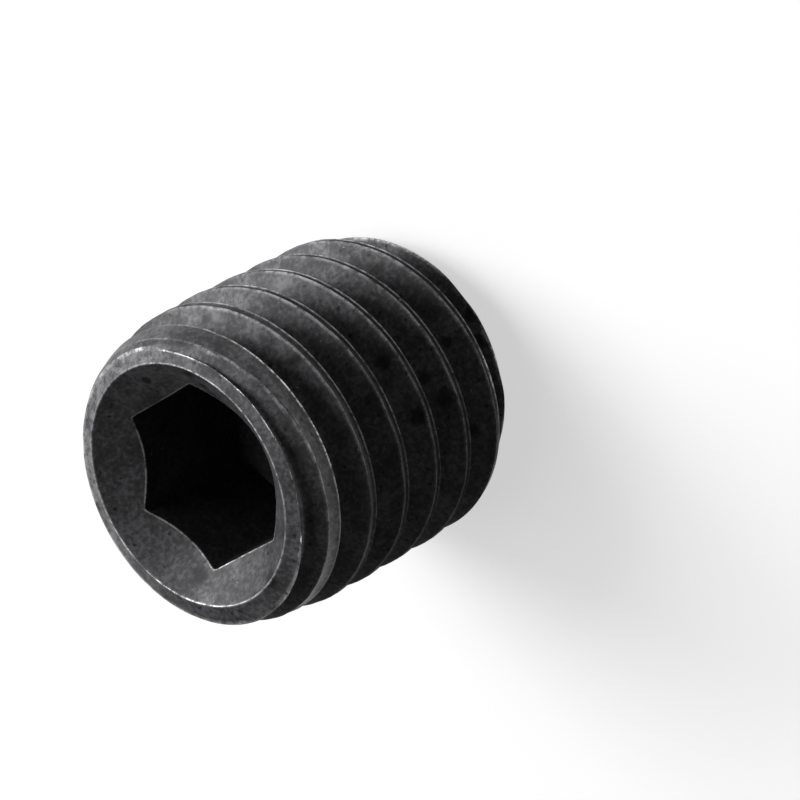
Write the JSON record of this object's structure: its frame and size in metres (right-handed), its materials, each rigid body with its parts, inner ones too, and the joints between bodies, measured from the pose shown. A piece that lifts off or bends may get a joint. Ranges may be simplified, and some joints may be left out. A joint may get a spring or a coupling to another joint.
{
  "type": "grub set screw",
  "caption": "Headless hexagon socket set screw with a coarse right-hand thread, a countersunk socket and a cup point.",
  "frame": {"origin": "middle of the point's flat edge plane, on the screw's axis", "axes": "+Z along the screw's axis from the point to the socket end, a corner of the hexagon socket faces +X"},
  "size_m": [0.0118, 0.0118, 0.012],
  "materials": {
    "black_oxide_steel": "satin black oxide over heat-treated steel"
  },
  "bodies": {
    "root": {"set_screw": "black_oxide_steel"}
  },
  "joints": []
}
